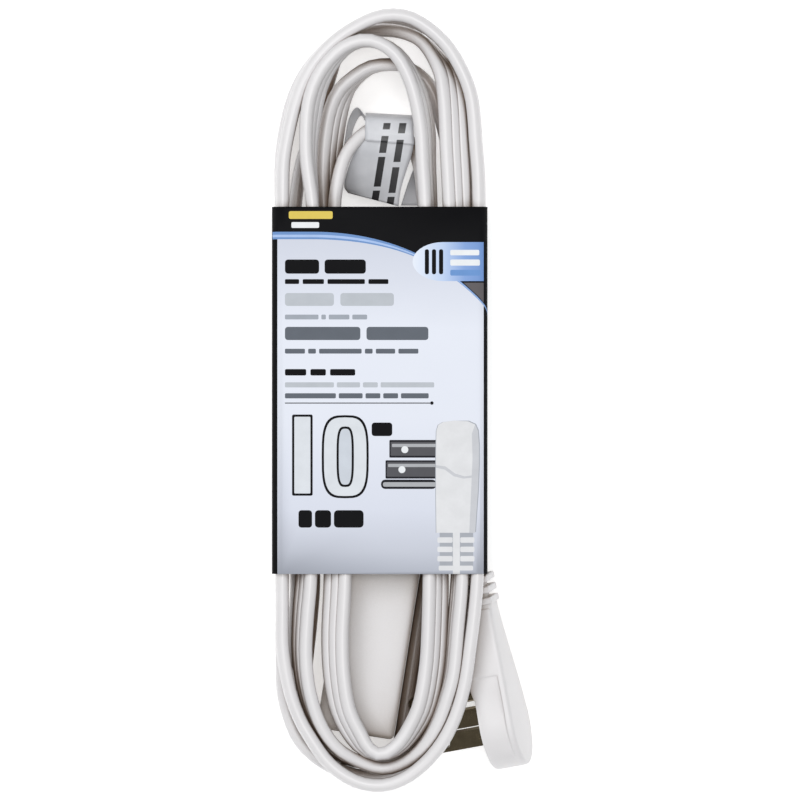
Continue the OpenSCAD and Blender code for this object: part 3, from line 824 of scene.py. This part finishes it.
def card_regions():
    """Printed areas as (ink, outline), each over those before it."""
    put = []

    def add(ink, *shapes):
        put.extend((ink, shape) for shape in shapes)

    x0, x1 = -39.2, 25.0
    xs = [x0 + (x1 - x0) * k / HEADER_STEPS for k in range(HEADER_STEPS + 1)]
    top = [(x, header_edge(x)) for x in reversed(xs)]
    add("panel", [(x0, CARD_Y0 - 1), (x1, CARD_Y0 - 1)] + top)
    add("swoosh", sweep(0, 2.3))
    add("swoosh_light", sweep(0.9, 1.7))
    add("smoke", [(18.6, 36.4), (25.0, 36.4), (25.0, 30.2), (23, 32.4), (20.6, 34.6)])
    # the badge, with three uprights, two white stripes and a blue one
    add("badge", oval(12.3, 42.95, 9.5, 6.05, 36), bar(12.3, 36.9, 25.0, 49.0))
    for k in range(3):
        add("black", bar(6.6 + 2.2 * k, 39, 7.9 + 2.2 * k, 46.8, 0.6))
    add("white", *words(44.9, 1.7, BADGE_X, [9], 0.5), *words(41.7, 1.9, BADGE_X, [9.2], 0.5))
    add("blue", *words(38.6, 1.8, BADGE_X, [9.4], 0.5))
    # the bars in the header, and the lines of bars down the left
    add("yellow", *words(56.2, 2.4, -35.6, [13.6], 0.5))
    add("white", *words(53.4, 1.8, -34.8, [8.6], 0.5))
    add("black", *words(39.2, 4.4, TEXT_X, [10.6, 12.8], 1.7))
    add("black", *words(36, 1.5, TEXT_X, [4.4, 6.6, 11.6, 6.2], 1.1))
    add("light", *words(29.2, 4.0, TEXT_X, [15.2, 16.6], 2.0))
    add("grey", *words(25, 1.5, TEXT_X, [10.4, 1.4, 6.4, 4.6], 0.9))
    add("mid", *words(18.6, 4.1, TEXT_X, [23.4, 19.2], 1.9))
    add("mid", *words(14.4, 1.5, TEXT_X, [6.2, 2.4, 13.2, 2.4, 6, 6.2], 1.0))
    add("black", *words(7.6, 2.0, TEXT_X, [6.6, 4.8, 7.8], 1.3))
    add("light", *words(3.9, 1.6, TEXT_X, [15.2, 7.2, 4.6, 16.6], 0.9))
    add("mid", *words(0.5, 1.6, TEXT_X, [15.8, 7.4, 4.6, 4.6, 8.6], 0.9))
    add("black", bar(TEXT_X, -1.1, 8.4, -0.8), oval(8.8, -0.95, 0.55, 0.55, 12))
    # a tall bar and a tall ring, in outline
    add("black", bar(-34.6, -29.7, -28.2, -4.5, 0.5))
    add("pale", bar(-33.9, -29.0, -28.9, -5.2, 0.3))
    add("black", oval(*RING_AT, 7.3, 12.9, 40, RING_POWER))
    add("pale", oval(*RING_AT, 6.6, 12.2, 40, RING_POWER))
    add("black", oval(*RING_AT, 2.7, 9.4, 32, RING_POWER))
    add("panel_low", oval(*RING_AT, 2.0, 8.7, 32, RING_POWER))
    add("black", *words(-11.2, 4.2, -9.9, [6.4], 0.6))
    add("black", *words(-39.6, 5.4, -32.6, [4.2, 5, 9.2], 0.9))
    # the plug pictured beside them: body, ribs, cord and pins
    add("shadow", bar(-4.4, -17.9, PICTURE_X, -12.4, 0.3), bar(-5.6, -24.4, PICTURE_X, -18.7, 0.3))
    add("steel", bar(-4.0, -17.3, PICTURE_X, -13.0, 0.3), bar(-5.2, -23.8, PICTURE_X, -19.2, 0.3))
    add("steel_light", bar(-3.6, -14.6, PICTURE_X, -13.6, 0.2), bar(-4.8, -20.8, PICTURE_X, -19.8, 0.2))
    add("white", oval(0.4, -15.4, 1.1, 1.1, 16), oval(-0.5, -21.6, 1.1, 1.1, 16))
    add("shadow", bar(-7.0, -27.6, PICTURE_X, -24.7, 1.3))
    add("steel_light", bar(-6.4, -26.9, PICTURE_X, -25.5, 0.6))
    right = [(20, -6.6), (22.2, -7.6), (23.1, -9.6), (23.4, -14), (23.4, -20), (23.1, -28), (22.6, -35),
             (22.2, -41.2)]
    left = [(10.2, -41.2), (10.05, -30), (10.05, -18), (10.2, -9.6), (10.8, -7.7), (12.4, -6.8),
            (16, -6.4)]
    add("picture_edge", [(x + 0.3, y + 0.2) for x, y in right] + [(x - 0.2, y) for x, y in left])
    add("picture", right + left)
    add("picture_side", right[1:] + [(20.4, -41.2), (20.9, -30), (21.4, -18), (21.2, -10.5)])
    add("picture_side", [(10.05, -20.2), (13, -20.6), (16, -22.8), (19, -23.7), (21.3, -23.4),
                         (21.3, -24.1), (18.6, -24.4), (15.6, -23.7), (12.8, -21.6), (10.05, -21)])
    add("picture_edge", bar(11.2, -52.6, 21.6, -41.2))
    add("picture", bar(15.3, -54.5, 17.5, -41.2))
    for k in range(3):
        y = -44.3 - 2.9 * k
        add("picture", bar(10.5, y, 15.2, y + 1.7, 0.4), bar(17.6, y, 22.0, y + 1.7, 0.4))
    add("picture", bar(10.9, -52.9, 21.6, -51.4, 0.4))
    return put


INKS = {
    "black": (0.008, 0.008, 0.009), "white": (0.82, 0.84, 0.86),
    "blue": (0.16, 0.31, 0.62), "yellow": (0.72, 0.56, 0.12), "light": (0.50, 0.53, 0.57),
    "grey": (0.36, 0.39, 0.44), "mid": (0.13, 0.145, 0.17), "pale": (0.70, 0.73, 0.77),
    "steel": (0.10, 0.10, 0.11), "steel_light": (0.42, 0.43, 0.45), "shadow": (0.02, 0.02, 0.025),
    "picture": (0.74, 0.745, 0.76), "picture_edge": (0.40, 0.42, 0.46), "swoosh": (0.17, 0.30, 0.58),
    "swoosh_light": (0.40, 0.54, 0.82), "panel_low": (0.60, 0.64, 0.70), "smoke": (0.13, 0.12, 0.125),
    "picture_side": (0.58, 0.59, 0.62),
}


def printed(name, stops, axis):
    """Ink on coated board that runs through the stops, each a place along the axis and a colour."""
    mat = surface(name, (0.5, 0.5, 0.5), 0.5, bump=0.08, bump_scale=700, Specular_IOR_Level=0.12)
    tree = mat.node_tree
    bsdf = tree.nodes["Principled BSDF"]
    where = node(tree, "ShaderNodeTexCoord").outputs["Object"]
    split = node(tree, "ShaderNodeSeparateXYZ")
    tree.links.new(where, split.inputs["Vector"])
    low, high = stops[0][0], stops[-1][0]
    along = map_range(tree, split.outputs[axis], low * MM, high * MM)
    colour = ramp(tree, along, [((at - low) / (high - low), c) for at, c in stops])
    tree.links.new(colour, bsdf.inputs["Base Color"])
    return mat


PANEL_STOPS = [(-54, (0.44, 0.465, 0.53)), (-47, (0.56, 0.585, 0.66)), (-34, (0.68, 0.71, 0.80)),
               (-5, (0.76, 0.79, 0.87)), (22, (0.77, 0.80, 0.88)), (40, (0.67, 0.70, 0.785)),
               (52, (0.61, 0.64, 0.73))]
BADGE_STOPS = [(3, (0.78, 0.83, 0.92)), (12, (0.52, 0.64, 0.86)), (19, (0.24, 0.38, 0.70)),
               (26, (0.16, 0.29, 0.60))]


def card_materials():
    looks = {"panel": printed("card_panel", PANEL_STOPS, "Y"),
             "badge": printed("card_badge", BADGE_STOPS, "X")}
    for ink, colour in INKS.items():
        looks[ink] = surface("card_" + ink, colour, 0.55, scale=200, vary=0.04,
                             bump=0.08, bump_scale=700, Specular_IOR_Level=0.03)
    looks["raw_board"] = surface("card_raw_board", (0.55, 0.50, 0.43), 0.8, scale=500, vary=0.12,
                                 bump=0.5, bump_scale=1600)
    return looks


def inside(point, shape):
    """Whether a point is in a closed outline, by the edges that a line to its right crosses."""
    x, y = point
    hit = False
    for (x0, y0), (x1, y1) in zip(shape, shape[1:] + shape[:1]):
        if (y0 > y) != (y1 > y) and x < (x1 - x0) * (y - y0) / (y1 - y0) + x0:
            hit = not hit
    return hit


CORNER_PARTS = 7
# How near a printed area may come to the card's seam, and how far the back's plain ink runs past its edge
SEAM_MARGIN = 0.5
BACK_SLACK = 0.01
CUT_EPSILON = 1e-5
CARD_MERGE_DIST = 0.000004


def build_sleeve():
    """The card, cut flat along the edges of its printed areas and then wrapped into the sleeve."""
    regions = card_regions()
    shift = FRONT_U - (CARD_X0 + CARD_R)
    points, edges = [], []

    def ring(shape, closed=True):
        base = len(points)
        points.extend(Vector((x, y)) for x, y in shape)
        n = len(shape)
        edges.extend((base + k, base + (k + 1) % n) for k in range(n if closed else n - 1))

    ring([(0, CARD_Y0), (AROUND, CARD_Y0), (AROUND, CARD_Y1), (0, CARD_Y1)])
    legs = [FLAT_W / 2, ARC, FLAT_D, ARC, FLAT_W, ARC, FLAT_D, ARC]
    u = 0
    for leg in legs:
        parts = CORNER_PARTS if leg == ARC else 1
        for k in range(parts):
            at = u + leg * k / parts
            if at > 0:
                ring([(at, CARD_Y0), (at, CARD_Y1)], closed=False)
        u += leg
    ring([(u, CARD_Y0), (u, CARD_Y1)], closed=False)
    placed = []
    for ink, shape in regions:
        cut = []
        for x, y in shape:
            across = min(max(x + shift, SEAM_MARGIN), AROUND - SEAM_MARGIN)
            cut.append((across, min(max(y, CARD_Y0), CARD_Y1)))
        placed.append((ink, cut))
        ring(cut)
    out = geometry.delaunay_2d_cdt(points, edges, [], 0, CUT_EPSILON)
    flat, triangles = out[0], out[2]
    looks = card_materials()
    names = ["black"] + sorted(n for n in looks if n not in ("black", "raw_board")) + ["raw_board"]
    made = bmesh.new()
    verts = []
    for p in flat:
        x, z = wrap(min(max(p.x, 0), AROUND))
        verts.append(made.verts.new(mm(x, p.y, z)))
    for tri in triangles:
        a, b, c = (flat[k] for k in tri)
        if abs((b - a).cross(c - a)) < 1e-9:
            continue
        try:
            face = made.faces.new([verts[k] for k in tri])
        except ValueError:
            continue
        middle = (a + b + c) / 3
        ink = "black"
        for name, shape in placed:
            if inside(middle, shape):
                ink = name
        from_seam = min(middle.x, AROUND - middle.x)
        if from_seam < FLAT_W / 2 + BACK_SLACK:
            ink = "pale"
        face.material_index = names.index(ink)
    bmesh.ops.remove_doubles(made, verts=made.verts, dist=CARD_MERGE_DIST)
    bmesh.ops.recalc_face_normals(made, faces=made.faces)
    centre = mm(MID_X, 0, CARD_D / 2)
    made.faces.ensure_lookup_table()
    probe = max(made.faces, key=lambda f: f.calc_center_median().z)
    if probe.normal.dot(probe.calc_center_median() - centre) < 0:
        bmesh.ops.reverse_faces(made, faces=made.faces)
    mesh = bpy.data.meshes.new("printed_sleeve")
    made.to_mesh(mesh)
    made.free()
    smooth(mesh, CARD_EDGE_ANGLE)
    for name in names:
        mesh.materials.append(looks[name])
    obj = new_object("printed_sleeve", mesh)
    board = obj.modifiers.new("board", "SOLIDIFY")
    board.thickness = CARD_T * MM
    board.offset = -1
    board.material_offset = len(names)
    board.material_offset_rim = len(names)
    return obj


sleeve = build_sleeve()


# ---------------------------------------------------------------- which body carries what

PIECES = [
    (cord, "hank", "pvc", ("cord_hank", "plug_lead", "outlet_lead")),
    (plug, "hank", "rigid", ("plug_body",)),
    (block, "hank", "rigid", ("outlet_body",)),
    (tag, "hank", "tag", ("cord_tag",)),
    (sleeve, "sleeve", "card", ("card_sleeve",)),
]
for obj, body, finish, solids in PIECES:
    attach(obj, body)
    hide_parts(*solids)


# ---------------------------------------------------------------- floor and light

FLOOR_HALF = 3.0


def build_floor():
    """White paper that glows a little, so that it stays white in the gaps between the strands."""
    mesh = bpy.data.meshes.new("floor")
    half = FLOOR_HALF
    corners = [(-half, -half, 0), (half, -half, 0), (half, half, 0), (-half, half, 0)]
    mesh.from_pydata(corners, [], [(0, 1, 2, 3)])
    mesh.materials.append(surface("floor_paper", (0.93, 0.93, 0.93), 0.9, scale=30, vary=0.004, bump=0.02,
                                  Emission_Color=(1, 1, 1, 1), Emission_Strength=0.5))
    obj = new_object("floor", mesh)


build_floor()

world = bpy.data.worlds.new("studio")
SCENE.world = world
world.use_nodes = True
sky = world.node_tree.nodes["Background"]
sky.inputs["Color"].default_value = (0.97, 0.985, 1.0, 1)
sky.inputs["Strength"].default_value = 0.40


def softbox(name, at, size, power):
    """A square lamp aimed at the part: its place and side in metres, and its power in watts."""
    light = bpy.data.lights.new(name, "AREA")
    light.shape = "SQUARE"
    light.size = size
    light.energy = power
    obj = new_object(name, light)
    obj.location = at
    aim = (Vector((0, 0, 0)) - obj.location).to_track_quat("-Z", "Y")
    obj.rotation_euler = aim.to_euler()


softbox("key", (-0.6, 0.55, 1.45), 0.8, 8.5)
softbox("top", (0.1, 0.1, 1.9), 0.55, 10)
softbox("low", (0.1, -0.75, 1.4), 0.7, 3.4)
